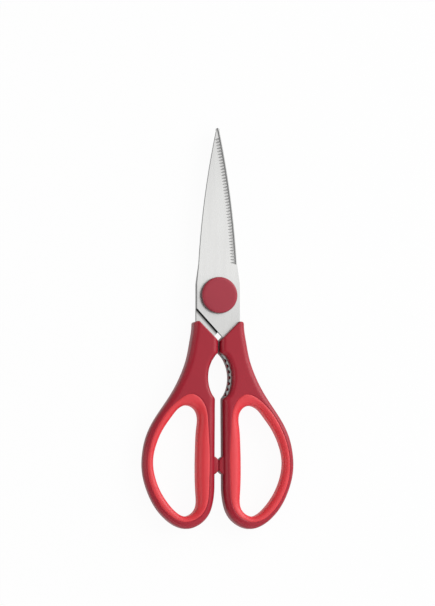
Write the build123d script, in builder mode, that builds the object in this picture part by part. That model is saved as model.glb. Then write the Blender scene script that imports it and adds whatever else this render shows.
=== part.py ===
from build123d import *
from math import atan2, cos, degrees, hypot, radians, sin, sqrt
import os

# Kitchen shears with a serrated and a plain blade, lying flat and closed. X runs across
# the shears, Y along them with the tips at +Y, and Z up through their thickness. The
# origin is the middle of the footprint, on the surface that the handles lie on.
# All lengths are in millimetres.

# Overall sizes
blade_reach = 88.2
handle_reach = 121.8
bow_half_width = 40.4
handle_thickness = 12.0

# Blades
blade_thickness = 2.3
blade_gap = 0.1
ricasso_width = 22.8
ricasso_top = 6.0
heel_width = 20.7
heel_height = 16.5
spine_bow = 1.35
tip_width = 1.9
tip_rise = 1.3
edge_setback = 0.45
bevel_width = 1.3
bevel_land = 0.3
shoulder_top = 6.9
shoulder_foot_x = 2.2
shoulder_foot_y = 21.7

# Serration of the front blade
flute_pitch = 1.6
serration_length = 66.3
serration_start = 0.9
flute_radius = 0.6
flute_length = 2.2
flute_depth = 0.38

# Tangs and gripping jaws
tang_inner_x = 1.5
tang_outer_x = 10.8
tang_shoulder_y = 16.0
tang_waist_y = 20.0
tang_hip_y = 44.0
tang_toe_x = 5.2
tang_toe_y = 57.0
tang_heel_x = 3.2
anchor_hole_radius = 2.2
anchor_hole_x = 6.4
anchor_hole_y = 26.5
jaw_middle = 43.0
jaw_half_width = 5.15
jaw_radius = 19.0
jaw_tooth_pitch = 3.0
jaw_notch_count = 7
jaw_notch_radius = 0.95
jaw_notch_depth = 1.3
jaw_setback = 1.7
jaw_cover = 0.7
jaw_front_round = 2.7
jaw_back_round = 2.4

# Handles
neck_half_width = 13.65
collar_top = 13.7
collar_tip_x = 10.7
collar_corner_round = 1.9
neck_gap = 0.35
neck_edge_round = 3.4
leg_gap_top = 1.9
leg_gap_bottom = 2.1
flat_half_width = 10.0
outer_fall = 2.0
bow_edge_round = 2.9
inner_shell_width = 3.2
outer_shell_width = 2.6
bottom_shell_width = 3.6
inner_leg_width = 8.7
outer_leg_width = 5.75
bottom_leg_width = 6.5
top_liner_width = 5.7
liner_edge_round = 2.2
tongue_depth = 0.9
tongue_height = 3.0
lug_top = 84.0
lug_bottom = 93.4
lug_flank = 1.9
lug_height = 7.0
lug_gap = 0.1

# Pivot
journal_radius = 4.0
running_clearance = 0.05
neck_flat_width = 6.4
screw_end_radius = 3.0
head_radius = 6.0
head_height = 1.6
head_round = 0.7
slot_width = 1.2
slot_depth = 0.7
washer_radius = 7.5
washer_recess = 0.1
washer_clearance = 0.1
spring_radius = 7.2
spring_thickness = 0.35
spring_rise = 0.3
nut_radius = 7.9
nut_thickness = 1.8
nut_edge_chamfer = 0.3
cap_radius = 9.5
cap_height = 3.95
cap_top_wall = 1.2
cap_rim_round = 0.9
cap_bead = 0.3
cap_bead_height = 0.4
cap_clearance = 0.12

# Spare length of a cut past the surface that it opens
cut_overrun = 2.0

# Outline of a bow from the neck to its lowest point: shares of the way from the neck's side to
# the widest part of the bow, and shares of the way from the collar to the lowest point.
bow_outer_shares = [(0.035, 0.093), (0.092, 0.171), (0.198, 0.249), (0.351, 0.3265), (0.5515, 0.404),
                    (0.7615, 0.4815), (0.9095, 0.559), (0.978, 0.634), (0.993, 0.7), (0.971, 0.748),
                    (0.876, 0.8245), (0.71, 0.902), (0.58, 0.94), (0.381, 0.9795), (0.11, 1.0)]
# The same from the lowest point up the inner side, across from the gap between the handles.
bow_inner_shares = [(0.209, 0.9785), (0.0976, 0.94), (0.047, 0.903), (0.0195, 0.865)]
leg_end_share = 0.79
liner_top_share = 0.3525

# Outer line of the soft liner and the finger hole: shares of the box that each fills.
liner_shares = [(0.27, 0.0), (0.49, 0.042), (0.705, 0.148), (0.885, 0.298), (1.0, 0.53), (0.965, 0.69),
                (0.842, 0.831), (0.67, 0.938), (0.39, 1.0), (0.128, 0.941), (0.008, 0.69), (0.0, 0.5),
                (0.022, 0.265), (0.145, 0.038)]
hole_shares = [(0.262, 0.0), (0.42, 0.024), (0.583, 0.098), (0.768, 0.208), (0.928, 0.353), (1.0, 0.503),
               (0.957, 0.645), (0.818, 0.791), (0.705, 0.865), (0.56, 0.937), (0.287, 1.0), (0.055, 0.937),
               (0.018, 0.861), (0.028, 0.791), (0.045, 0.6), (0.044, 0.5), (0.035, 0.353), (0.012, 0.208),
               (0.0, 0.098), (0.095, 0.024)]

# Each half of the shears is drawn on its own plane at the pivot, where the blades meet.
# The rear half is the front half turned over about the length of the shears.
pivot_y = (handle_reach - blade_reach) / 2
joint_height = handle_thickness / 2
front_half = Plane((0, pivot_y, joint_height), x_dir=(1, 0, 0), z_dir=(0, 0, 1))
rear_half = Plane((0, pivot_y, joint_height), x_dir=(-1, 0, 0), z_dir=(0, 0, -1))
inner_face = blade_gap / 2
outer_face = inner_face + blade_thickness
jaw_centre_x = jaw_half_width - jaw_radius
flute_tilt = atan2(flute_depth, flute_length)
flute_count = int(serration_length / flute_pitch) + 1


def arc_centre(start, end, bow):
    """Centre and radius of an arc that bows to the right of the way from start to end."""
    chord = hypot(end[0] - start[0], end[1] - start[1])
    radius = chord**2 / (8 * bow) + bow / 2
    along = ((end[0] - start[0]) / chord, (end[1] - start[1]) / chord)
    middle = ((start[0] + end[0]) / 2, (start[1] + end[1]) / 2)
    reach = radius - bow
    return (middle[0] - along[1] * reach, middle[1] + along[0] * reach), radius


def jaw_y(x, radius, side):
    """Height at which a jaw arc of this radius stands at x, above or below its middle."""
    return side * sqrt(radius**2 - (x - jaw_centre_x) ** 2) - jaw_middle


def box_points(shares, left, right, top, bottom):
    """Points of a closed line, from shares of the box that it fills."""
    return [(left + x * (right - left), -(top + y * (bottom - top))) for x, y in shares]


def bow_depth(share):
    """Distance below the pivot, for a share of the way from the collar to the lowest point."""
    return collar_top + share * (handle_reach - collar_top)


def bow_points(shares, start_x):
    """Points of a bow's outline, with their shares taken across from this start."""
    return [(start_x + x * (bow_half_width - start_x), -bow_depth(y)) for x, y in shares]


# Cutting edge of a blade: an arc from the heel up to the tip.
edge_heel = (heel_width / 2 - edge_setback, heel_height)
edge_tip = (tip_width / 2 - edge_setback, blade_reach - tip_rise)
edge_centre, edge_radius = arc_centre(edge_heel, edge_tip, spine_bow)
edge_heel_angle = degrees(atan2(edge_heel[1] - edge_centre[1], edge_heel[0] - edge_centre[0]))
edge_tip_angle = degrees(atan2(edge_tip[1] - edge_centre[1], edge_tip[0] - edge_centre[0]))
spine_heel = (-heel_width / 2, heel_height)
spine_tip = (-tip_width / 2, blade_reach - tip_rise)


def radial_plane(half, centre, angle):
    """Plane that stands on a blade, with its x out from the centre at this angle."""
    turn = radians(angle)
    outward = half.x_dir * cos(turn) + half.y_dir * sin(turn)
    return Plane(centre, x_dir=outward, z_dir=outward.cross(half.z_dir))


def flute_planes(half, centre):
    """Planes whose z runs down each flute, from the face of the blade out across its bevel."""
    planes = []
    for number in range(flute_count):
        angle = edge_heel_angle + degrees((serration_start + number * flute_pitch) / edge_radius)
        radial = radial_plane(half, centre, angle)
        down = radial.x_dir * cos(flute_tilt) - radial.y_dir * sin(flute_tilt)
        up = radial.x_dir * sin(flute_tilt) + radial.y_dir * cos(flute_tilt)
        corner = radial.from_local_coords(Vector(edge_radius - bevel_width, blade_thickness - flute_depth))
        planes.append(Plane(corner + up * flute_radius, x_dir=up, z_dir=down))
    return planes


def make_blade(half, serrated):
    """One blade with its shoulder, tang and toothed jaw, drawn on the plane of its half."""
    half_ricasso = ricasso_width / 2
    jaw_foot = (leg_gap_top, jaw_y(leg_gap_top, jaw_radius, -1))
    jaw_head = (tang_inner_x, jaw_y(tang_inner_x, jaw_radius, 1))
    with BuildPart() as blade:
        with BuildSketch(half.offset(inner_face)):
            with BuildLine():
                Polyline(
                    jaw_head,
                    (shoulder_foot_x, -shoulder_foot_y),
                    (-half_ricasso, -shoulder_top),
                    (-half_ricasso, ricasso_top),
                    spine_heel,
                )
                SagittaArc(spine_heel, spine_tip, spine_bow)
                ThreePointArc(spine_tip, (-edge_setback / 2, blade_reach), edge_tip)
                SagittaArc(edge_tip, edge_heel, spine_bow)
                Polyline(
                    edge_heel,
                    (half_ricasso, ricasso_top),
                    (half_ricasso, -tang_shoulder_y),
                    (tang_outer_x, -tang_waist_y),
                    (tang_outer_x, -tang_hip_y),
                    (tang_toe_x, -tang_toe_y),
                    (tang_heel_x, -tang_toe_y),
                    jaw_foot,
                )
                ThreePointArc(jaw_foot, (jaw_half_width, -jaw_middle), jaw_head)
            make_face()
            # Anchor hole, which the plastic of the handle fills
            with Locations((anchor_hole_x, -anchor_hole_y)):
                Circle(anchor_hole_radius, mode=Mode.SUBTRACT)
            # Notches between the teeth of the jaw
            for number in range(jaw_notch_count):
                turn = (number - (jaw_notch_count - 1) / 2) * jaw_tooth_pitch / jaw_radius
                reach = jaw_radius + jaw_notch_depth - jaw_notch_radius
                with Locations((jaw_centre_x + reach * cos(turn), reach * sin(turn) - jaw_middle)):
                    Circle(jaw_notch_radius, mode=Mode.SUBTRACT)
        extrude(amount=blade_thickness)
        # Recess for the bearing washer
        with BuildSketch(half.offset(inner_face)):
            Circle(washer_radius + washer_clearance)
        extrude(amount=washer_recess, mode=Mode.SUBTRACT)
        # Pivot hole: round where the blade turns, with two flats where the screw is keyed
        with BuildSketch(half.offset(inner_face)):
            if serrated:
                Circle(journal_radius + running_clearance)
            else:
                Circle(journal_radius)
                Rectangle(2 * journal_radius, neck_flat_width, mode=Mode.INTERSECT)
        extrude(amount=blade_thickness, mode=Mode.SUBTRACT)
        # Ground bevel of the cutting edge, turned about the centre of the edge's arc
        centre = half.from_local_coords(Vector(*edge_centre, inner_face))
        with BuildSketch(radial_plane(half, centre, edge_heel_angle)):
            Polygon(
                (edge_radius - bevel_width, blade_thickness),
                (edge_radius, bevel_land),
                (edge_radius + cut_overrun, bevel_land),
                (edge_radius + cut_overrun, blade_thickness + cut_overrun),
                (edge_radius - bevel_width, blade_thickness + cut_overrun),
                align=None,
            )
        revolve(
            axis=Axis(centre, half.z_dir),
            revolution_arc=edge_tip_angle - edge_heel_angle + degrees(cut_overrun / edge_radius),
            mode=Mode.SUBTRACT,
        )
        # Flutes across the bevel, which make the serration
        if serrated:
            with Locations(*flute_planes(half, centre)):
                Cylinder(flute_radius, 2 * (flute_length + bevel_width), mode=Mode.SUBTRACT)
    return blade


def section_plane(half):
    """Plane across the shears at the pivot: x out to the bow of this half, y through its thickness."""
    return Plane(half.origin, x_dir=half.x_dir, z_dir=-half.y_dir)


def keep_crown(half):
    """Cut the standing part to the crown of a handle: flat inside, falling to the outer side."""
    edge_height = joint_height - outer_fall
    side = bow_half_width + cut_overrun
    with BuildSketch(section_plane(half)) as section:
        with BuildLine():
            for face in (1, -1):
                Line((-cut_overrun, 0), (-cut_overrun, face * joint_height))
                Line((-cut_overrun, face * joint_height), (flat_half_width, face * joint_height))
                TangentArc(
                    (flat_half_width, face * joint_height),
                    (bow_half_width, face * edge_height),
                    tangent=(1, 0),
                )
                Line((bow_half_width, face * edge_height), (side, face * edge_height))
                Line((side, face * edge_height), (side, 0))
        make_face()
    extrude(section.sketch, amount=handle_reach + cut_overrun, mode=Mode.INTERSECT)


def liner_box(spare):
    """Left, right, top and bottom of the soft liner, let out by a spare width all round."""
    return (
        leg_gap_bottom + inner_shell_width - spare,
        bow_half_width - outer_shell_width + spare,
        bow_depth(liner_top_share) - spare,
        handle_reach - bottom_shell_width + spare,
    )


def jaw_cut(half, radius, height, edge_round, side):
    """Cut the jaw opening to this radius from a height to one face of the handle, with a round rim."""
    centre = half.from_local_coords(Vector(jaw_centre_x, -jaw_middle, 0))
    face = side * joint_height
    rim = face - side * edge_round
    with BuildSketch(Plane(centre, x_dir=half.x_dir, z_dir=-half.y_dir)) as section:
        with BuildLine():
            Polyline(
                (radius, rim),
                (radius, height),
                (0, height),
                (0, face + side * cut_overrun),
                (radius + edge_round, face + side * cut_overrun),
                (radius + edge_round, face),
            )
            RadiusArc((radius + edge_round, face), (radius, rim), -side * edge_round)
        make_face()
    revolve(section.sketch, axis=Axis(centre, half.z_dir), mode=Mode.SUBTRACT)


def neck_cut(half, side):
    """Round the long edge of the neck beside the gap between the handles, on one face."""
    face = side * joint_height
    rim = face - side * neck_edge_round
    with BuildSketch(section_plane(half)) as section:
        with BuildLine():
            Polyline(
                (neck_gap, rim),
                (neck_gap - cut_overrun, rim),
                (neck_gap - cut_overrun, face + side * cut_overrun),
                (neck_gap + neck_edge_round, face + side * cut_overrun),
                (neck_gap + neck_edge_round, face),
            )
            RadiusArc((neck_gap + neck_edge_round, face), (neck_gap, rim), -side * neck_edge_round)
        make_face()
    extrude(section.sketch, amount=jaw_middle, mode=Mode.SUBTRACT)


def make_handle(half):
    """One handle as a single body: the neck, left long, and the bow with its finger hole."""
    leg_end = (leg_gap_bottom, -bow_depth(leg_end_share))
    hole_box = (
        leg_gap_bottom + inner_leg_width,
        bow_half_width - outer_leg_width,
        bow_depth(liner_top_share) + top_liner_width,
        handle_reach - bottom_leg_width,
    )
    with BuildPart() as handle:
        with BuildSketch(half.offset(-joint_height)):
            with BuildLine():
                Polyline(
                    leg_end,
                    (leg_gap_top, -jaw_middle),
                    (neck_gap, -jaw_middle),
                    (neck_gap, 0),
                    (neck_half_width, 0),
                    (neck_half_width, -collar_top),
                )
                Spline(
                    (neck_half_width, -collar_top),
                    *bow_points(bow_outer_shares, neck_half_width),
                    *bow_points(bow_inner_shares, leg_gap_bottom),
                    leg_end,
                    tangents=((0, -1), (0, 1)),
                )
            make_face()
        extrude(amount=handle_thickness)
        keep_crown(half)
        # Every edge along the outline but those of the straight neck and of the end above it
        rims = handle.edges().filter_by(GeomType.CIRCLE, reverse=True)
        for direction in (Axis.X, Axis.Y, Axis.Z):
            rims = rims.filter_by(direction, reverse=True)
        fillet(rims, radius=bow_edge_round)
        with BuildSketch(half.offset(-joint_height)):
            with BuildLine():
                Spline(*box_points(hole_shares, *hole_box), periodic=True)
            make_face()
        extrude(amount=handle_thickness, mode=Mode.SUBTRACT)
        fillet(handle.edges(Select.LAST).filter_by(GeomType.BSPLINE), radius=liner_edge_round)
    return handle


def make_liner_room(half):
    """The space of the soft liner, through the handle, with the room of its tongue."""
    with BuildPart() as room:
        with BuildSketch(half.offset(-joint_height)):
            with BuildLine():
                Spline(*box_points(liner_shares, *liner_box(0)), periodic=True)
            make_face()
        extrude(amount=handle_thickness)
        with BuildSketch(half.offset(-tongue_height / 2)):
            with BuildLine():
                Spline(*box_points(liner_shares, *liner_box(tongue_depth)), periodic=True)
            make_face()
        extrude(amount=tongue_height)
    return room


def make_liner(handle, room):
    """The soft ring that lines the bow, with a tongue that locks it in the shell."""
    with BuildPart() as liner:
        add(handle.part)
        add(room.part, mode=Mode.INTERSECT)
    return liner


def make_shell(half, handle, room, blade):
    """The hard shell of one handle, moulded round the tang of its blade."""
    with BuildPart() as shell:
        add(handle.part)
        add(room.part, mode=Mode.SUBTRACT)
        # The collar: a slanted shoulder beside the ricasso, and a flat tip with a round corner
        slant_foot = (neck_gap - cut_overrun, neck_gap - cut_overrun - collar_tip_x - collar_top)
        corner_x = neck_half_width - collar_corner_round
        corner_y = -collar_top - collar_corner_round
        with BuildSketch(half.offset(-joint_height)):
            with BuildLine():
                Polyline(slant_foot, (collar_tip_x, -collar_top), (corner_x, -collar_top))
                TangentArc((corner_x, -collar_top), (neck_half_width, corner_y), tangent=(1, 0))
                Polyline(
                    (neck_half_width, corner_y),
                    (neck_half_width + cut_overrun, corner_y),
                    (neck_half_width + cut_overrun, cut_overrun),
                    (neck_gap - cut_overrun, cut_overrun),
                    slant_foot,
                )
            make_face()
        extrude(amount=handle_thickness, mode=Mode.SUBTRACT)
        # The long edges of the neck, then the jaw opening, set back from the steel
        neck_cut(half, 1)
        neck_cut(half, -1)
        jaw_cut(half, jaw_radius + jaw_setback, inner_face, jaw_front_round, 1)
        jaw_cut(half, jaw_radius + jaw_cover, inner_face, jaw_back_round, -1)
        # Lug that meets the lug of the other handle when the shears close
        lug_root = leg_gap_bottom + inner_shell_width / 2
        with BuildSketch(half.offset(-lug_height / 2)):
            Polygon(
                (lug_root, -lug_top),
                (lug_gap / 2 + lug_flank, -lug_top),
                (lug_gap / 2, -lug_top - lug_flank),
                (lug_gap / 2, -lug_bottom + lug_flank),
                (lug_gap / 2 + lug_flank, -lug_bottom),
                (lug_root, -lug_bottom),
                align=None,
            )
        extrude(amount=lug_height)
        # Bed of the tang
        add(blade.part, mode=Mode.SUBTRACT)
    return shell


os.makedirs("parts", exist_ok=True)

front_blade = make_blade(front_half, True)
front_blade.part.label = "front_blade"
export_step(front_blade.part, "parts/front_blade.step")

rear_blade = make_blade(rear_half, False)
rear_blade.part.label = "rear_blade"
export_step(rear_blade.part, "parts/rear_blade.step")

right_handle = make_handle(front_half)
right_room = make_liner_room(front_half)
right_handle_shell = make_shell(front_half, right_handle, right_room, front_blade)
right_handle_shell.part.label = "right_handle_shell"
export_step(right_handle_shell.part, "parts/right_handle_shell.step")

left_handle = make_handle(rear_half)
left_room = make_liner_room(rear_half)
left_handle_shell = make_shell(rear_half, left_handle, left_room, rear_blade)
left_handle_shell.part.label = "left_handle_shell"
export_step(left_handle_shell.part, "parts/left_handle_shell.step")

right_grip_liner = make_liner(right_handle, right_room)
right_grip_liner.part.label = "right_grip_liner"
export_step(right_grip_liner.part, "parts/right_grip_liner.step")

left_grip_liner = make_liner(left_handle, left_room)
left_grip_liner.part.label = "left_grip_liner"
export_step(left_grip_liner.part, "parts/left_grip_liner.step")

# The pivot is a stack on one axis. Its sections are drawn out from the axis and up from the
# height where the blades meet.
pivot_axis = Axis(front_half.origin, front_half.z_dir)
spring_seat = outer_face + running_clearance
nut_seat = spring_seat + spring_thickness + spring_rise
nut_top = nut_seat + nut_thickness
cap_seat = outer_face + cap_clearance
cap_top = outer_face + cap_height

# Screw: a slotted head behind, a keyed neck in the rear blade, a journal and a thread
with BuildPart() as pivot_screw:
    with BuildSketch(rear_half.offset(outer_face)):
        Circle(head_radius)
    extrude(amount=head_height)
    head_rim = pivot_screw.edges().filter_by(GeomType.CIRCLE).sort_by(Axis.Z)[0]
    fillet(head_rim, radius=head_round)
    with BuildSketch(rear_half.offset(outer_face + head_height - slot_depth)):
        Rectangle(2 * head_radius, slot_width)
    extrude(amount=slot_depth, mode=Mode.SUBTRACT)
    with BuildSketch(rear_half.offset(inner_face)):
        Circle(journal_radius)
        Rectangle(2 * journal_radius, neck_flat_width, mode=Mode.INTERSECT)
    extrude(amount=blade_thickness)
    with BuildSketch(front_half.offset(-inner_face)):
        Circle(journal_radius)
    extrude(amount=blade_gap + blade_thickness)
    with BuildSketch(front_half.offset(outer_face)):
        Circle(screw_end_radius)
    extrude(amount=nut_top - outer_face)
pivot_screw.part.label = "pivot_screw"
export_step(pivot_screw.part, "parts/pivot_screw.step")

# Thin ring between the blades, in a recess of each
with BuildPart() as bearing_washer:
    with BuildSketch(front_half.offset(-inner_face - washer_recess)):
        Circle(washer_radius)
        Circle(journal_radius + running_clearance, mode=Mode.SUBTRACT)
    extrude(amount=blade_gap + 2 * washer_recess - running_clearance)
bearing_washer.part.label = "bearing_washer"
export_step(bearing_washer.part, "parts/bearing_washer.step")

# Dished spring that keeps the blades together, under the nut
with BuildPart() as disc_spring:
    with BuildSketch(section_plane(front_half)):
        Polygon(
            (spring_radius, spring_seat),
            (spring_radius, spring_seat + spring_thickness),
            (screw_end_radius + running_clearance, nut_seat),
            (screw_end_radius + running_clearance, nut_seat - spring_thickness),
            align=None,
        )
    revolve(axis=pivot_axis)
disc_spring.part.label = "disc_spring"
export_step(disc_spring.part, "parts/disc_spring.step")

# Round nut on the thread of the screw
with BuildPart() as pivot_nut:
    with BuildSketch(front_half.offset(nut_seat)):
        Circle(nut_radius)
        Circle(screw_end_radius, mode=Mode.SUBTRACT)
    extrude(amount=nut_thickness)
    nut_rim = pivot_nut.edges().filter_by(GeomType.CIRCLE).sort_by(SortBy.RADIUS)[-2:]
    chamfer(nut_rim, length=nut_edge_chamfer)
pivot_nut.part.label = "pivot_nut"
export_step(pivot_nut.part, "parts/pivot_nut.step")

# Cap that snaps over the nut, with a bead below the nut's edge
with BuildPart() as pivot_cap:
    with BuildSketch(section_plane(front_half)):
        Polygon(
            (0, cap_top),
            (cap_radius, cap_top),
            (cap_radius, cap_seat),
            (nut_radius, cap_seat),
            (nut_radius - cap_bead, nut_seat - cap_bead_height / 2),
            (nut_radius, nut_seat),
            (nut_radius, cap_top - cap_top_wall),
            (0, cap_top - cap_top_wall),
            align=None,
        )
    revolve(axis=pivot_axis)
    cap_rim = pivot_cap.edges().filter_by(GeomType.CIRCLE).group_by(Axis.Z)[-1]
    fillet(cap_rim, radius=cap_rim_round)
pivot_cap.part.label = "pivot_cap"
export_step(pivot_cap.part, "parts/pivot_cap.step")
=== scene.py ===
from math import cos, hypot, pi, radians, sin

import bmesh
import bpy
import numpy as np
from mathutils import Matrix, Vector
from mathutils.geometry import delaunay_2d_cdt


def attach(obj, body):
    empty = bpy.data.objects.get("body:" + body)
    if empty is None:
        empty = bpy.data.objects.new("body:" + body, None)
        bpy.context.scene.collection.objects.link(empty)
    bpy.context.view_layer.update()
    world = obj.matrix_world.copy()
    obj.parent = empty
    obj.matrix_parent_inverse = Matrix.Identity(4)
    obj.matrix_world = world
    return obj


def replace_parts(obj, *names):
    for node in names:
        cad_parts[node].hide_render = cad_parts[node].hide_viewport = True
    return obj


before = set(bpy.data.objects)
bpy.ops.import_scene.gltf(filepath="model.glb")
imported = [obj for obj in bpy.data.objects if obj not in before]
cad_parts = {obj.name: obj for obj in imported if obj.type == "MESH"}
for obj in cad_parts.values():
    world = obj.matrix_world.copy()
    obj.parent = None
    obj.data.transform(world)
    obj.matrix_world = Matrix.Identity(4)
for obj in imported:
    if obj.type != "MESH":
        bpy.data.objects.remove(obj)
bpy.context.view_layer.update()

# Shapes are drawn in millimetres from the pivot, for the right half of the shears: x out to
# its bow, y towards the tips, z up from the surface where the blades meet. The left half is
# the right half turned over about the length of the shears.
MM = 0.001
PIVOT = Vector((0.0, 16.8, 6.0))
HALF_THICKNESS = 6.0

# Outline of a handle: down its outer side from the collar's corner, round the bow and up to
# the foot of the leg's inner wall
SIDE = [(13.45, -15.6), (14.5, -23.75), (16.11, -32.19), (18.95, -40.62), (23.04, -48.99), (28.4, -57.37),
        (34.02, -65.75), (37.96, -74.13), (39.78, -82.24), (40.16, -89.37), (39.57, -94.56),
        (37.05, -102.83), (32.61, -111.21), (29.13, -115.31), (23.82, -119.56), (16.59, -121.76),
        (10.1, -119.46), (5.84, -115.31), (3.9, -111.31), (2.87, -107.21), (2.12, -99.1)]

# Gripping jaw: an arc whose centre lies past the middle line. It is drawn in to one radius at
# its ends, between two turns from them in radians.
JAW_CENTRE = (-13.85, -43.0)
JAW_END_RADIUS = 19.25
FRONT_JAW_RADIUS = 20.7
BACK_JAW_RADIUS = 19.7
JAW_DRAW_IN = (-0.05, 0.2)

# How far the leg and the neck stand from the middle line at the jaw's ends, then the collar,
# whose slant would meet the middle line at a depth of its own
LEG_GAP = 1.92
NECK_GAP = 0.37
COLLAR_LINE = 24.4
COLLAR_FOOT = 1.0
COLLAR_TIP = (10.7, -13.7)
CORNER_CENTRE = (11.55, -15.6)
CORNER_RADIUS = 1.9

# Outlines of the soft liner and of the finger hole in it, clockwise from the top
LINER = [(14.08, -51.81), (21.23, -54.59), (28.21, -61.63), (34.06, -71.59), (37.8, -86.99), (36.66, -97.62),
         (32.66, -106.98), (27.08, -114.08), (17.98, -118.2), (9.46, -114.28), (5.56, -97.62),
         (5.3, -85.0), (6.02, -69.4), (10.01, -54.33)]
HOLE = [(17.05, -57.51), (20.82, -58.89), (24.7, -63.17), (29.12, -69.53), (32.93, -77.91), (34.65, -86.58),
        (33.62, -94.78), (30.31, -103.22), (27.61, -107.5), (24.16, -111.66), (17.64, -115.3),
        (12.11, -111.66), (11.23, -107.27), (11.47, -103.22), (11.87, -92.18), (11.85, -86.4),
        (11.63, -77.91), (11.09, -69.53), (10.8, -63.17), (13.07, -58.89)]

# Section of a handle. The long edges grow rounder down the legs, between two depths, and only
# on the inner side, out to a width.
JOINT_FACE = 0.05
CROWN_START = 9.0
CROWN_RUN = 31.4
CROWN_FALL = 2.0
EDGE_ROUND = 3.3
LEG_EXTRA_ROUND = 1.3
LEG_ROUND_DEPTHS = (48, 62)
LEG_ROUND_WIDTHS = (10, 18)
NECK_ROUND = 3.4
COLLAR_ROUND = 0.6
FRONT_JAW_ROUND = 2.7
BACK_JAW_ROUND = 2.4
SEAM_WIDTH = 0.32
SEAM_DEPTH = 0.16

# How far inside the seam the liner's edge lies, and how far outside it the shell's bed
LINER_INSET = 0.03
BED_OUTSET = 0.01

# How sharply a radius gives way to half the width of a narrow part, and one round edge to the
# one beside it
HALF_WIDTH_POWER = 8.0
CORNER_POWER = 3

# Stop lug, as depths below the pivot and distances from the middle line
LUG_TOP = 84.0
LUG_BOTTOM = 93.4
LUG_FLANK = 1.9
LUG_ROOT = 4.6
LUG_SHOULDER = 1.95
LUG_GAP = 0.07
LUG_HALF_HEIGHT = 3.5
LUG_ROUND = 0.75

# Cap of the pivot, in radii and heights: a slightly domed face, then a soft rim, then a wall
# that stops just short of the blade and the hollow inside it
CAP_DOME = [(0, 6.29), (2.0, 6.285), (4.0, 6.27), (6.0, 6.245), (7.4, 6.222)]
CAP_RIM_CENTRE = (8.3, 5.0)
CAP_RIM_RADIUS = 1.2
CAP_WALL = [(9.5, 5.0), (9.5, 4.2), (9.5, 2.9), (9.42, 2.62), (9.25, 2.49), (7.95, 2.49),
            (7.95, 5.08), (0, 5.08)]

# Spacing of the mesh of a handle's faces, in the plane of the shears: points along its lines,
# rings where an edge's rounding has turned by so many degrees, and a grid in the middle
EDGE_STEP = 0.7
LEG_POINTS = 70
JAW_POINTS = 46
WALL_POINTS = 8
RING_TILTS = (12, 22, 32, 42, 52, 62, 72, 84)
SLIM_LEG = 11
SLIM_LEG_SPARE = 0.5
HOLE_RING = 3.0
SEAM_RINGS = (0.07, 0.18, 0.32)
GRID_STEP = 0.95
GRID_TO_EDGE = 2.4
GRID_TO_SEAM = 0.7

# Points nearer than this to a line are left out. The others keep at least as far apart, or by
# a share of how far they are from a line, up to a limit.
NEAR_LINE = 0.03
APART_SHARE = 0.35
APART_LIMIT = 0.3


def ease(value, low, high):
    """Smooth rise from 0 to 1 between two values."""
    share = np.clip((value - low) / (high - low), 0, 1)
    return share**2 * (3 - 2 * share)


def even_steps(line, step):
    """Points at even steps along a line, both ends kept."""
    run = np.concatenate([[0.0], np.cumsum(np.hypot(*np.diff(line, axis=0).T))])
    at = np.linspace(0.0, run[-1], max(2, int(round(run[-1] / step)) + 1))
    return np.column_stack([np.interp(at, run, line[:, 0]), np.interp(at, run, line[:, 1])])


def smooth_line(points, step, ends=None):
    """A curve of even curvature through the points: closed, or with a direction at each end."""
    knots = np.array(points, float)
    if ends is None:
        knots = np.vstack([knots, knots[:1]])
    count = len(knots)
    gap = np.hypot(*np.diff(knots, axis=0).T)
    place = np.concatenate([[0.0], np.cumsum(gap)])
    rise = np.diff(knots, axis=0) / gap[:, None]
    sums = np.zeros((count, count))
    known = np.zeros((count, 2))
    for i in range(1, count - 1):
        sums[i, i - 1 : i + 2] = gap[i], 2 * (gap[i - 1] + gap[i]), gap[i - 1]
        known[i] = 3 * (gap[i] * rise[i - 1] + gap[i - 1] * rise[i])
    if ends is None:
        sums[0, 0], sums[0, -1] = 1, -1
        sums[-1, -2], sums[-1, 0], sums[-1, 1] = gap[0], 2 * (gap[-1] + gap[0]), gap[-1]
        known[-1] = 3 * (gap[0] * rise[-1] + gap[-1] * rise[0])
    else:
        sums[0, 0] = sums[-1, -1] = 1
        known[0], known[-1] = ends
    slope = np.linalg.solve(sums, known)
    samples_per_knot = 160
    at = np.linspace(0.0, place[-1], samples_per_knot * count)
    k = np.clip(np.searchsorted(place, at, side="right") - 1, 0, count - 2)
    s = ((at - place[k]) / gap[k])[:, None]
    g = gap[k][:, None]
    fine = (
        knots[k] * (1 + 2 * s) * (1 - s) ** 2
        + slope[k] * g * s * (1 - s) ** 2
        + knots[k + 1] * s**2 * (3 - 2 * s)
        - slope[k + 1] * g * s**2 * (1 - s)
    )
    line = even_steps(fine, step)
    return line[:-1] if ends is None else line


def arc_line(centre, radius, start, end, count):
    """Points along an arc, from one angle in degrees to another."""
    turn = np.radians(np.linspace(start, end, count))
    return np.column_stack([centre[0] + radius * np.cos(turn), centre[1] + radius * np.sin(turn)])


def distance(points, line, closed=False):
    """Distance of each point from a line, worked out for a block of its pieces at a time."""
    a = line
    b = np.roll(line, -1, axis=0)
    if not closed:
        a, b = a[:-1], b[:-1]
    block = 60
    nearest = np.full(len(points), np.inf)
    for first in range(0, len(a), block):
        start, step = a[first : first + block], (b - a)[first : first + block]
        away = points[:, None, :] - start[None]
        along = np.clip((away * step).sum(2) / (step**2).sum(1), 0, 1)
        left = away - along[..., None] * step[None]
        nearest = np.minimum(nearest, np.sqrt((left**2).sum(2)).min(1))
    return nearest


def within(points, loop):
    """Whether each point lies inside a closed line."""
    a, b = loop, np.roll(loop, -1, axis=0)
    x, y = points[:, :1], points[:, 1:]
    across = (a[:, 1] > y) != (b[:, 1] > y)
    # Level pieces are never crossed, so their fall may be any number but zero
    fall = np.where(b[:, 1] == a[:, 1], 1e-12, b[:, 1] - a[:, 1])
    return (across & (x < a[:, 0] + (y - a[:, 1]) * (b[:, 0] - a[:, 0]) / fall)).sum(1) % 2 == 1


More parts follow.
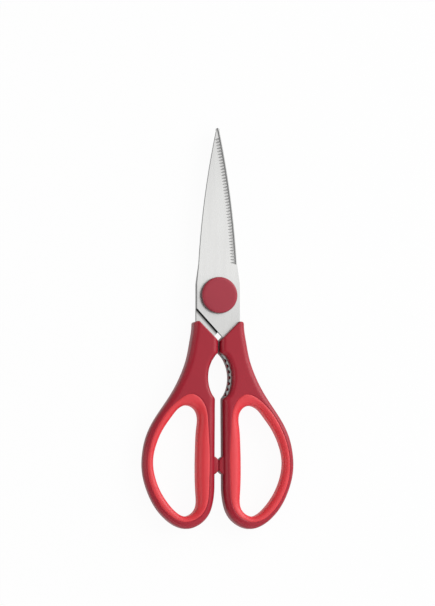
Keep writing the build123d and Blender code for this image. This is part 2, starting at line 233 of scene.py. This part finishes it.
def inset(loop, depth):
    """A closed clockwise line moved inwards by a depth, one for all or one at each point."""
    along = np.roll(loop, -1, axis=0) - np.roll(loop, 1, axis=0)
    along /= np.hypot(*along.T)[:, None]
    return loop + np.column_stack([along[:, 1], -along[:, 0]]) * np.reshape(depth, (-1, 1))


def jaw_line(radius):
    """The jaw's arc from the leg up to the neck, drawn in a little towards both ends."""
    low_turn = -np.arccos((LEG_GAP - JAW_CENTRE[0]) / JAW_END_RADIUS)
    high_turn = np.arccos((NECK_GAP - JAW_CENTRE[0]) / JAW_END_RADIUS)
    turn = np.linspace(low_turn, high_turn, JAW_POINTS)
    from_end = np.minimum(turn - low_turn, high_turn - turn)
    reach = JAW_END_RADIUS + (radius - JAW_END_RADIUS) * ease(from_end, *JAW_DRAW_IN)
    reach[[0, -1]] = JAW_END_RADIUS
    return np.column_stack([JAW_CENTRE[0] + reach * np.cos(turn), JAW_CENTRE[1] + reach * np.sin(turn)])


def outline_runs(jaw_radius):
    """The outline of a handle, clockwise, as named runs that share their ends."""
    jaw = jaw_line(jaw_radius)
    # A small arc leads from the upright wall of the neck into the slant of the collar
    foot_y = -COLLAR_LINE + NECK_GAP - COLLAR_FOOT * np.tan(pi / 8)
    slant = (NECK_GAP + COLLAR_FOOT * (1 - cos(pi / 4)), foot_y + COLLAR_FOOT * sin(pi / 4))
    return {
        "side": smooth_line(SIDE, EDGE_STEP, ends=((0, -1), (0, 1))),
        "leg": np.linspace(SIDE[-1], jaw[0], LEG_POINTS),
        "jaw": jaw,
        "wall": np.vstack([
            np.linspace(jaw[-1], (NECK_GAP, foot_y), WALL_POINTS)[:-1],
            arc_line((NECK_GAP + COLLAR_FOOT, foot_y), COLLAR_FOOT, 180, 135, 7),
        ]),
        "collar": np.vstack([
            np.linspace(slant, COLLAR_TIP, 20),
            np.linspace(COLLAR_TIP, (CORNER_CENTRE[0], COLLAR_TIP[1]), 3)[1:],
            arc_line(CORNER_CENTRE, CORNER_RADIUS, 90, 0, 9)[1:],
        ]),
    }


def joined(runs):
    """The whole outline as one closed line."""
    return np.vstack([line[:-1] for line in runs.values()])


hole_line = smooth_line(HOLE, EDGE_STEP)
liner_line = smooth_line(LINER, EDGE_STEP)


def crown(x):
    """Height of the face of a handle: flat inside, falling to the outer side."""
    radius = (CROWN_RUN**2 + CROWN_FALL**2) / (2 * CROWN_FALL)
    return HALF_THICKNESS - (radius - np.sqrt(radius**2 - np.clip(x - CROWN_START, 0, None) ** 2))


def drop(depth, radius):
    """How far a round edge of this radius has fallen, at a depth in from the edge."""
    left = np.clip(1 - depth / radius, 0, 1)
    return radius * (1 - np.sqrt(1 - left**2))


def long_edge_round(points, to_side, to_hole):
    """Radius of the long edges: larger on the inner leg, and no more than half the width."""
    inner_leg = ease(-points[:, 1], *LEG_ROUND_DEPTHS) * (1 - ease(points[:, 0], *LEG_ROUND_WIDTHS))
    full = EDGE_ROUND + LEG_EXTRA_ROUND * inner_leg
    half = (to_side + to_hole) / 2
    return (full**-HALF_WIDTH_POWER + half**-HALF_WIDTH_POWER) ** (-1 / HALF_WIDTH_POWER)


def drawn_on(line, rise):
    """A line with one more point, straight above its end."""
    return np.vstack([line, line[-1] + np.array((0, rise))])


def face_height(points, runs, jaw_round):
    """Height of the face of a handle above the joint surface."""
    # The long edges run on past their corners, so their rounding carries through
    side = drawn_on(runs["side"][::-1], 4)
    leg = drawn_on(runs["leg"], 9)
    wall = drawn_on(runs["wall"][:WALL_POINTS], 6)
    collar = np.vstack([runs["wall"][WALL_POINTS - 1 :], runs["collar"]])
    to_side = np.minimum(distance(points, side), distance(points, leg))
    to_hole = distance(points, hole_line, closed=True)
    falls = (
        drop(np.minimum(to_side, to_hole), long_edge_round(points, to_side, to_hole)),
        drop(distance(points, runs["jaw"]), jaw_round),
        drop(distance(points, wall), NECK_ROUND),
        drop(distance(points, collar), COLLAR_ROUND),
    )
    fall = sum(f**CORNER_POWER for f in falls) ** (1 / CORNER_POWER)
    seam = SEAM_DEPTH * (1 - ease(distance(points, liner_line, closed=True), 0, SEAM_WIDTH))
    return crown(points[:, 0]) - fall - seam


def edge_rings(outline):
    """Rings of points along each edge, close together where its rounding turns fast."""
    to_hole = distance(outline, hole_line, closed=True)
    rings = []
    for tilt in RING_TILTS:
        share = 1 - cos(radians(tilt))
        for line, inwards, radius in (
            (outline, 1, np.minimum(EDGE_ROUND + SLIM_LEG_SPARE * (to_hole < SLIM_LEG), to_hole / 2)),
            (outline, 1, np.full(len(outline), COLLAR_ROUND)),
            (hole_line, -1, np.full(len(hole_line), HOLE_RING)),
        ):
            depth = radius * share
            ring = inset(line, inwards * depth)
            # Points that came too near another stretch of the line are left out
            rings.append(ring[distance(ring, line, closed=True) > depth * 0.97])
    for depth in SEAM_RINGS:
        rings += [inset(liner_line, depth), inset(liner_line, -depth)]
    return rings


def middle_grid(outline, rim):
    """Staggered points over the middle of a face, clear of its edges."""
    low, high = rim.min(0), rim.max(0)
    across = np.arange(low[0], high[0], GRID_STEP)
    along = np.arange(low[1], high[1], GRID_STEP)
    grid = np.stack(np.meshgrid(across, along), -1).reshape(-1, 2)
    grid[:, 0] += GRID_STEP / 2 * (np.round((grid[:, 1] - low[1]) / GRID_STEP) % 2)
    to_edge = np.minimum(distance(grid, outline, closed=True), distance(grid, hole_line, closed=True))
    return grid[(to_edge > GRID_TO_EDGE) & (distance(grid, liner_line, closed=True) > GRID_TO_SEAM)]


def thinned(points, outline):
    """The points without those that crowd each other, where the ones nearest a line stay."""
    lines = (outline, hole_line, liner_line)
    room = np.min([distance(points, line, closed=True) for line in lines], axis=0)
    points, room = points[room > NEAR_LINE], room[room > NEAR_LINE]
    order = np.argsort(room)
    cell = np.clip(APART_SHARE * room[order], NEAR_LINE, APART_LIMIT)
    taken, kept = set(), []
    for point, size in zip(points[order], cell):
        key = (round(point[0] / size), round(point[1] / size), round(size, 2))
        if key not in taken:
            taken.add(key)
            kept.append(point)
    return kept


def handle_face(outer, inner, runs, jaw_round):
    """Points, triangles and heights of one face between two lines.

    The last value tells which of the given points each point came from. The points of the two
    lines were given first.
    """
    rim = np.vstack([outer, inner])
    outline = joined(runs)
    points = np.vstack([*edge_rings(outline), middle_grid(outline, rim)])
    points = points[within(points, outer) & ~within(points, inner)]
    points = np.vstack([rim, thinned(points, outline)])
    edges, start = [], 0
    for loop in (outer, inner):
        count = len(loop)
        edges += [(start + i, start + (i + 1) % count) for i in range(count)]
        start += count
    made = delaunay_2d_cdt([Vector(p) for p in points], edges, [], 0, 1e-7, True)
    corners = np.array([tuple(v) for v in made[0]])
    triangles = np.array([f for f in made[2] if len(f) == 3])
    middle = corners[triangles].mean(1)
    triangles = triangles[within(middle, outer) & ~within(middle, inner)]
    return corners, triangles, face_height(corners, runs, jaw_round), made[3]


def piece_from(name, bm, rear=False):
    """A finished object from a mesh drawn in millimetres from the pivot."""
    bmesh.ops.remove_doubles(bm, verts=bm.verts, dist=1e-5)
    side = -1 if rear else 1
    for v in bm.verts:
        v.co = (Vector((side * v.co.x, v.co.y, side * v.co.z)) + PIVOT) * MM
    bmesh.ops.recalc_face_normals(bm, faces=bm.faces)
    mesh = bpy.data.meshes.new(name)
    bm.to_mesh(mesh)
    bm.free()
    mesh.shade_smooth()
    mesh.set_sharp_from_angle(angle=radians(38))
    piece = bpy.data.objects.new(name, mesh)
    bpy.context.scene.collection.objects.link(piece)
    return piece


def handle_mesh(front_loops, back_loops):
    """A closed moulding: a front face, a back face, and the walls along its two lines."""
    bm = bmesh.new()
    rims = []
    for loops, runs, jaw_round, side in (
        (front_loops, FRONT_RUNS, FRONT_JAW_ROUND, 1),
        (back_loops, BACK_RUNS, BACK_JAW_ROUND, -1),
    ):
        points, triangles, heights, sources = handle_face(*loops, runs, jaw_round)
        face = [bm.verts.new((p[0], p[1], side * z)) for p, z in zip(points, heights)]
        used = set()
        for a, b, c in triangles:
            bm.faces.new((face[a], face[b], face[c]))
            used.update((a, b, c))
        place = {i: n for n, group in enumerate(sources) for i in group}
        rim = [face[place[i]] for i in range(sum(map(len, loops)))]
        level = [bm.verts.new((v.co.x, v.co.y, JOINT_FACE)) for v in rim]
        rims += [rim, level]
        for n, v in enumerate(face):
            if n not in used:
                bm.verts.remove(v)
    front, front_level, back, back_level = rims
    start = 0
    for loop in front_loops:
        count = len(loop)
        for high, low in ((front, front_level), (front_level, back_level), (back_level, back)):
            for i in range(count):
                a, b = start + i, start + (i + 1) % count
                if (high[a].co - low[a].co).length + (high[b].co - low[b].co).length > 1e-6:
                    bm.faces.new((high[a], high[b], low[b], low[a]))
        start += count
    return bm


def add_lug(bm):
    """The stop lug on the inner wall of a handle, a block with slanted ends and round edges."""
    plan = [
        (LUG_ROOT, -LUG_TOP),
        (LUG_SHOULDER, -LUG_TOP),
        (LUG_GAP, -LUG_TOP - LUG_FLANK),
        (LUG_GAP, -LUG_BOTTOM + LUG_FLANK),
        (LUG_SHOULDER, -LUG_BOTTOM),
        (LUG_ROOT, -LUG_BOTTOM),
    ]
    top = [bm.verts.new((x, y, LUG_HALF_HEIGHT)) for x, y in plan]
    bottom = [bm.verts.new((x, y, -LUG_HALF_HEIGHT)) for x, y in plan]
    faces = [bm.faces.new(top), bm.faces.new(bottom[::-1])]
    for i in range(len(plan)):
        k = (i + 1) % len(plan)
        faces.append(bm.faces.new((top[i], bottom[i], bottom[k], top[k])))
    # Round every edge but the ones inside the wall of the leg
    edges = {e for f in faces for e in f.edges if min(v.co.x for v in e.verts) < LUG_ROOT / 2}
    bmesh.ops.bevel(bm, geom=list(edges), offset=LUG_ROUND, segments=4, profile=0.5, affect="EDGES")


def turned(profile, count=128):
    """A solid turned about the pivot's axis from a closed profile of radii and heights."""
    bm = bmesh.new()
    rings = []
    for radius, height in profile:
        if radius == 0:
            rings.append([bm.verts.new((0, 0, height))] * count)
        else:
            turns = [2 * pi * i / count for i in range(count)]
            rings.append([bm.verts.new((radius * cos(t), radius * sin(t), height)) for t in turns])
    for inner, outer in zip(rings, rings[1:] + rings[:1]):
        for i in range(count):
            k = (i + 1) % count
            corners = dict.fromkeys((inner[i], inner[k], outer[k], outer[i]))
            if len(corners) > 2:
                bm.faces.new(corners)
    return bm


def cap_profile():
    """The cap's profile, from the middle of its face round to the middle of its hollow."""
    radius, height = CAP_RIM_CENTRE
    turns = [radians(t) for t in range(8, 91, 8)]
    rim = [(radius + CAP_RIM_RADIUS * sin(t), height + CAP_RIM_RADIUS * cos(t)) for t in turns]
    return CAP_DOME + rim + CAP_WALL


FRONT_RUNS = outline_runs(FRONT_JAW_RADIUS)
BACK_RUNS = outline_runs(BACK_JAW_RADIUS)
front_outline = joined(FRONT_RUNS)
back_outline = joined(BACK_RUNS)
liner_edge = inset(liner_line, LINER_INSET)
liner_bed = inset(liner_line, -BED_OUTSET)

dressed = {}
for side, rear in (("right", False), ("left", True)):
    body = "rear_half" if rear else "front_half"
    bm = handle_mesh([front_outline, liner_bed], [back_outline, liner_bed])
    add_lug(bm)
    shell = piece_from(f"{side}_handle_shell_moulded", bm, rear)
    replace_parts(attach(shell, body), f"{side}_handle_shell")
    bm = handle_mesh([liner_edge, hole_line], [liner_edge, hole_line])
    liner = piece_from(f"{side}_grip_liner_moulded", bm, rear)
    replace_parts(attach(liner, body), f"{side}_grip_liner")
    dressed[shell] = "shell"
    dressed[liner] = "liner"

cap = piece_from("pivot_cap_moulded", turned(cap_profile()))
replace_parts(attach(cap, "rear_half"), "pivot_cap")
dressed[cap] = "cap"


class Channel:
    """A socket of a finish. Sums written on it add the nodes that work them out."""

    def __init__(self, tree, socket=None):
        self.tree = tree
        self.socket = socket

    def node(self, kind, settings=(), inputs=(), out=0):
        """Add a node from its type, its settings, then the values or links of its sockets."""
        made = self.tree.nodes.new(kind)
        for name, value in dict(settings).items():
            if name == "stops":
                stops = made.color_ramp.elements
                for place, _ in value[2:]:
                    stops.new(place)
                for stop, (place, colour) in zip(stops, value):
                    stop.position = place
                    stop.color = colour
            else:
                setattr(made, name, value)
        for name, value in dict(inputs).items():
            if isinstance(value, Channel):
                self.tree.links.new(value.socket, made.inputs[name])
            else:
                made.inputs[name].default_value = value
        return Channel(self.tree, made.outputs[out])

    def maths(self, operation, *values):
        """Add a Math node on channels and numbers."""
        return self.node("ShaderNodeMath", {"operation": operation}, dict(enumerate(values)))

    def __add__(self, other):
        return self.maths("ADD", self, other)

    def __radd__(self, other):
        return self.maths("ADD", other, self)

    def __sub__(self, other):
        return self.maths("SUBTRACT", self, other)

    def __rsub__(self, other):
        return self.maths("SUBTRACT", other, self)

    def __mul__(self, other):
        return self.maths("MULTIPLY", self, other)

    def __rmul__(self, other):
        return self.maths("MULTIPLY", other, self)


def axes(place):
    """The x, y and z of a place or a direction."""
    split = place.node("ShaderNodeSeparateXYZ", inputs={0: place})
    return [Channel(place.tree, socket) for socket in split.socket.node.outputs]


def ramp(value, low, high, first, last, kind="LINEAR"):
    """A channel that goes from first to last while the value goes from low to high."""
    ends = {"Value": value, "From Min": low, "From Max": high, "To Min": first, "To Max": last}
    return value.node("ShaderNodeMapRange", {"interpolation_type": kind}, ends)


def noise(place, scale, detail, roughness=0.5):
    """A cloudy pattern over the places."""
    inputs = {"Vector": place, "Scale": scale, "Detail": detail, "Roughness": roughness}
    return place.node("ShaderNodeTexNoise", inputs=inputs)


def finish(name):
    """A new material, its first channel and its main shader."""
    material = bpy.data.materials.new(name)
    material.use_nodes = True
    tree = material.node_tree
    return material, Channel(tree), tree.nodes["Principled BSDF"]


def constants(shader, **values):
    """Set the shader's own sockets."""
    for name, value in values.items():
        shader.inputs[name.replace("_", " ")].default_value = value


def feed(shader, **channels):
    """Lead channels to the shader's sockets."""
    for name, channel in channels.items():
        channel.tree.links.new(channel.socket, shader.inputs[name.replace("_", " ")])


def tinted(start, colour, swing, factor):
    """A colour that goes a little darker and lighter as the factor goes from 0 to 1."""
    dark, light = [tuple(min(1.0, c * f) for c in colour) + (1.0,) for f in (1 - swing, 1 + swing)]
    return start.node("ShaderNodeMix", {"data_type": "RGBA"}, {"Factor": factor, 6: dark, 7: light}, out=2)


def scaled(colour, factor):
    """A colour made lighter or darker by a channel."""
    return colour.node("ShaderNodeVectorMath", {"operation": "SCALE"}, {0: colour, "Scale": factor})


# Painted shade on the steel, by how much a surface lies in the flat face: 0 is an upright
# wall and 1 the face itself. Bevels and flutes lie between and are painted darker.
LEAN_SHADE = [(0.0, 0.16), (0.35, 0.2), (0.6, 0.3), (0.975, 0.34), (0.996, 1.0)]

# The front blade's shoulder runs from one of these points to the other
SHOULDER_START = (-11.4, -6.9)
SHOULDER_END = (2.2, -21.7)

# Painted shade on the shoulder's wall, by the distance in front of it, in metres, and by how
# much a surface lies in the flat face
SHOULDER_WALL = (0.00008, 0.00002)
SHOULDER_LEVEL = (0.3, 0.1)
SHOULDER_WALL_SHADE = 0.94

# Painted shadow of that wall on the other blade, by the same distance
SHOULDER_SHADOW_REACH = (-0.0017, -0.0003)
SHOULDER_SHADOW_END = 0.00005
SHOULDER_SHADOW_DARK = 0.95

# Painted shade on the jaw's teeth, by the distance from the centre of its arc, in metres
JAW_TEETH = (0.0193, 0.02)
JAW_SHADES = (0.14, 0.56)
JAW_END = 0.0209

# Tones towards the tip and the pivot, by the place along the shears, in metres
TIP_RUN = (0.05, 0.105)
TIP_TONE = 0.9
HEEL_RUN = (0.0, 0.034)
HEEL_TONE = 0.88

# The polished inner faces lie this near the joint surface, in metres
INNER_FACE_REACH = 0.0001
POLISHED_ROUGHNESS = 0.1

# How tight the broad streaks of the steel are across, along and through the shears
STREAKS = (420.0, 22.0, 100.0)


def blade_painted_shade(start, place, lean):
    """How light each surface of a blade is, and where it is polished.

    Surfaces that lean away from the flat faces get painted shade. The wall of the shoulder and
    the teeth of the jaw get painted shade too, and the other blade a painted shadow of that wall.
    """
    level = lean * lean
    # Painted shade: the more a surface leans from the flat face, the darker it is
    stops = [(share, (tone, tone, tone, 1.0)) for share, tone in LEAN_SHADE]
    tone = start.node("ShaderNodeValToRGB", {"stops": stops}, {0: level})
    apart, along, height = axes(place)
    # How far a place lies in front of the shoulder's wall
    begin = [c * MM for c in (SHOULDER_START[0], PIVOT.y + SHOULDER_START[1])]
    end = [c * MM for c in (SHOULDER_END[0], PIVOT.y + SHOULDER_END[1])]
    length = hypot(end[0] - begin[0], end[1] - begin[1])
    ahead = ((begin[1] - end[1]) / length, (end[0] - begin[0]) / length, 0.0)
    spot = start.node("ShaderNodeVectorMath", {"operation": "DOT_PRODUCT"}, {0: place, 1: ahead}, "Value")
    beyond = spot - (begin[0] * ahead[0] + begin[1] * ahead[1])
    # Painted shade: the upright wall of the shoulder is made nearly black
    wall = ramp(beyond, *SHOULDER_WALL, 0.0, 1.0)
    upright_shade = ramp(level, *SHOULDER_LEVEL, 0.0, SHOULDER_WALL_SHADE)
    tone = tone * (1.0 - wall * upright_shade)
    # The inner faces, where the blades slide on each other, are polished
    polished = start.maths("COMPARE", height, PIVOT.z * MM, INNER_FACE_REACH)
    # Painted shadow on the other blade's polished face, beside the wall of the shoulder
    shoulder_shadow = ramp(beyond, *SHOULDER_SHADOW_REACH, 0.0, SHOULDER_SHADOW_DARK)
    outside = start.maths("LESS_THAN", beyond, SHOULDER_SHADOW_END)
    tone = tone * (1.0 - shoulder_shadow * outside * polished)
    # Painted shade on the toothed jaw, by the distance from the centre of its arc
    aside = start.maths("ABSOLUTE", apart) - JAW_CENTRE[0] * MM
    below = along - (PIVOT.y + JAW_CENTRE[1]) * MM
    reach = start.maths("SQRT", aside * aside + below * below)
    jaw = ramp(reach, *JAW_TEETH, *JAW_SHADES)
    past_jaw = start.maths("GREATER_THAN", reach, JAW_END)
    tone = tone * (jaw + (1.0 - jaw) * past_jaw)
    # The flat is a little darker towards the tip and the pivot
    tip = ramp(along, *TIP_RUN, 1.0, TIP_TONE, "SMOOTHSTEP")
    heel = ramp(along, *HEEL_RUN, HEEL_TONE, 1.0, "SMOOTHSTEP")
    return tone * tip * heel, polished


def steel_finish(name, colour, roughness, lines, blade=False):
    """Ground steel: fine lines along one direction, a broad variation, and a satin gloss.

    A blade also has its painted shade and shadow.
    """
    material, start, shader = finish(name)
    place = start.node("ShaderNodeTexCoord", out="Object")
    lean = axes(start.node("ShaderNodeTexCoord", out="Normal"))[2]
    # Painted shade and shadow of a blade, and where it is polished
    flat, polished = blade_painted_shade(start, place, lean) if blade else (1.0, 0.0)
    stretched = start.node("ShaderNodeVectorMath", {"operation": "MULTIPLY"}, {0: place, 1: lines})
    drawn = start.node("ShaderNodeVectorMath", {"operation": "MULTIPLY"}, {0: place, 1: STREAKS})
    grain = noise(stretched, 1.0, 4.0, 0.65)
    tone = 0.4 * grain + 0.25 * noise(place, 45.0, 3.0) + 0.35 * noise(drawn, 1.0, 2.0)
    relief = {"Strength": 0.12, "Distance": 0.00002, "Height": grain * (1.0 - polished)}
    bump = start.node("ShaderNodeBump", inputs=relief)
    satin = (roughness - 0.06 + 0.12 * tone) * (1.0 - polished) + POLISHED_ROUGHNESS * polished
    constants(shader, Metallic=1.0)
    feed(shader, Base_Color=scaled(tinted(start, colour, 0.1, tone), flat), Roughness=satin, Normal=bump)
    return material


def moulded_finish(name, colour, roughness, grain_scale, depth, gloss=0.5, wall=1.0):
    """Moulded plastic or rubber: a fine grain, faint wear in its gloss, and an even colour.

    Upright walls are darkened by the wall factor, a painted shade.
    """
    material, start, shader = finish(name)
    place = start.node("ShaderNodeTexCoord", out="Object")
    grain = noise(place, grain_scale, 3.0, 0.6)
    broad = noise(place, 70.0, 4.0)
    tint = tinted(start, colour, 0.06, broad)
    # Painted shade on upright walls
    if wall < 1:
        lean = axes(start.node("ShaderNodeTexCoord", out="Normal"))[2]
        tint = scaled(tint, ramp(lean, 0.1, 0.7, wall, 1.0, "SMOOTHSTEP"))
    bump = start.node("ShaderNodeBump", inputs={"Strength": 0.2, "Distance": depth, "Height": grain})
    constants(shader, Specular_IOR_Level=gloss)
    feed(shader, Base_Color=tint, Roughness=roughness - 0.05 + 0.08 * broad + 0.04 * grain, Normal=bump)
    return material


finishes = {
    "blade": steel_finish(
        "blade_steel_ground", (0.685, 0.685, 0.676), 0.27, lines=(14000.0, 420.0, 4000.0), blade=True
    ),
    "pivot": steel_finish("pivot_steel_turned", (0.6, 0.6, 0.6), 0.3, lines=(6000.0, 6000.0, 2000.0)),
    # The shell's and the cap's wall factors paint shade on their upright walls
    "shell": moulded_finish(
        "shell_plastic_satin", (0.365, 0.008, 0.024), 0.38, 2600.0, 0.00003, gloss=0.36, wall=0.7
    ),
    "liner": moulded_finish("liner_rubber_soft", (0.72, 0.026, 0.038), 0.44, 4200.0, 0.00004, gloss=0.6),
    "cap": moulded_finish(
        "cap_plastic_satin", (0.35, 0.022, 0.042), 0.42, 3200.0, 0.00003, gloss=0.42, wall=0.22
    ),
    "washer": moulded_finish("washer_plastic_natural", (0.75, 0.75, 0.72), 0.4, 3000.0, 0.00002),
}
for piece, kind in dressed.items():
    piece.data.materials.append(finishes[kind])
for node, kind in {
    "front_blade": "blade",
    "rear_blade": "blade",
    "pivot_screw": "pivot",
    "pivot_nut": "pivot",
    "disc_spring": "pivot",
    "bearing_washer": "washer",
}.items():
    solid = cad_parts[node]
    solid.data.materials.clear()
    solid.data.materials.append(finishes[kind])

# Studio, in metres: how far the floor reaches and how far below the shears it lies, how much
# of its own white it shows to the camera and in gloss, and the levels of the sky and of its
# horizon, with the rises between which one gives way to the other. A rise of 1 is straight up.
FLOOR_HALF_WIDTH = 3
FLOOR_DROP = 0.0001
FLOOR_WHITE = 0.95
FLOOR_MIRRORED = 0.6
SKY_LEVEL = 0.13
HORIZON_LEVEL = 0.8
HORIZON_RISE = (0.95, 0.55)

# Camera: the photograph's view, from above, a little to the left, from far away. Angles are in
# degrees, distances in metres, and the lens and the sensor in millimetres.
CAMERA_AZIMUTH = -71.05
CAMERA_ELEVATION = 77.48
CAMERA_DISTANCE = 1.794
CAMERA_DOWN = 0.00379
CAMERA_LEFT = 0.00007
CAMERA_LENS = 203.7
CAMERA_SENSOR = 36.0


def seen_by(start):
    """Whether the camera looks, straight or through glass, and whether a gloss mirrors."""
    shown = start.node("ShaderNodeLightPath", out="Is Camera Ray")
    through = start.node("ShaderNodeLightPath", out="Is Transmission Ray")
    return shown + through, start.node("ShaderNodeLightPath", out="Is Glossy Ray")


def studio_floor():
    """A pale floor that shows white to the camera and keeps the shears' shadow."""
    side = FLOOR_HALF_WIDTH
    mesh = bpy.data.meshes.new("studio_floor")
    corners = [(-side, -side, 0), (side, -side, 0), (side, side, 0), (-side, side, 0)]
    mesh.from_pydata(corners, [], [(0, 1, 2, 3)])
    floor = bpy.data.objects.new("studio_floor", mesh)
    bpy.context.scene.collection.objects.link(floor)
    floor.location.z = -FLOOR_DROP
    material, start, shader = finish("studio_floor_paper")
    constants(shader, Base_Color=(0.86, 0.86, 0.86, 1.0), Roughness=0.9, Specular_IOR_Level=0.1)
    shown, mirrored = seen_by(start)
    glow = start.node("ShaderNodeEmission", inputs={"Color": (1.0, 1.0, 1.0, 1.0), "Strength": 1.0})
    lit = Channel(start.tree, shader.outputs[0])
    share = shown * FLOOR_WHITE + mirrored * FLOOR_MIRRORED
    paper = start.node("ShaderNodeMixShader", inputs={0: share, 1: lit, 2: glow})
    start.tree.links.new(paper.socket, start.tree.nodes["Material Output"].inputs["Surface"])
    mesh.materials.append(material)


def soft_box(name, place, aim, size, power):
    """A rectangular soft light that points at a place."""
    lamp = bpy.data.lights.new(name, "AREA")
    lamp.shape = "RECTANGLE"
    lamp.size, lamp.size_y = size
    lamp.energy = power
    box = bpy.data.objects.new(name, lamp)
    bpy.context.scene.collection.objects.link(box)
    box.location = place
    box.rotation_euler = (Vector(aim) - Vector(place)).to_track_quat("-Z", "Y").to_euler()


def studio_world():
    """White to the camera, a pale horizon under a darker sky to gloss, and faint to all else."""
    world = bpy.data.worlds.new("studio_world")
    bpy.context.scene.world = world
    world.use_nodes = True
    tree = world.node_tree
    start = Channel(tree)
    shown, mirrored = seen_by(start)
    rise = axes(start.node("ShaderNodeTexCoord", out="Generated"))[2]
    horizon = ramp(rise, *HORIZON_RISE, SKY_LEVEL, HORIZON_LEVEL, "SMOOTHSTEP")
    level = shown + (1.0 - shown) * (SKY_LEVEL * (1.0 - mirrored) + mirrored * horizon)
    background = tree.nodes["Background"]
    tree.links.new(level.socket, background.inputs["Strength"])
    background.inputs["Color"].default_value = (1.0, 1.0, 1.0, 1.0)


def set_camera():
    """Aim the camera at the pivot, then move it a little in its own plane."""
    camera = bpy.data.cameras.new("photo_camera")
    camera.sensor_width = CAMERA_SENSOR
    camera.lens = CAMERA_LENS
    camera.clip_end = 20.0
    eye = bpy.data.objects.new("photo_camera", camera)
    bpy.context.scene.collection.objects.link(eye)
    azimuth, elevation = radians(CAMERA_AZIMUTH), radians(CAMERA_ELEVATION)
    back = Vector((sin(azimuth) * cos(elevation), -cos(azimuth) * cos(elevation), sin(elevation)))
    right = Vector((0, 1, 0)).cross(back).normalized()
    up = back.cross(right)
    place = PIVOT * MM + back * CAMERA_DISTANCE - up * CAMERA_DOWN - right * CAMERA_LEFT
    eye.matrix_world = Matrix((
        (right.x, up.x, back.x, place.x),
        (right.y, up.y, back.y, place.y),
        (right.z, up.z, back.z, place.z),
        (0, 0, 0, 1),
    ))
    bpy.context.scene.camera = eye


studio_floor()
studio_world()
soft_box("soft_box_over", (1.2, 0.0, 1.5), (1.2, 0.0, 0.0), (3.0, 4.2), 38.0)
soft_box("soft_box_right", (1.7, 1.0, 0.9), (0.0, 0.0, 0.0), (1.6, 2.2), 38.0)
soft_box("soft_box_left", (-1.5, 0.0, 0.35), (0.0, 0.0, 0.0), (0.5, 2.4), 7.0)
soft_box("soft_box_near", (-0.2, -1.6, 0.4), (0.0, 0.0, 0.0), (2.4, 0.5), 7.0)
set_camera()
bpy.context.scene.view_settings.view_transform = "Standard"
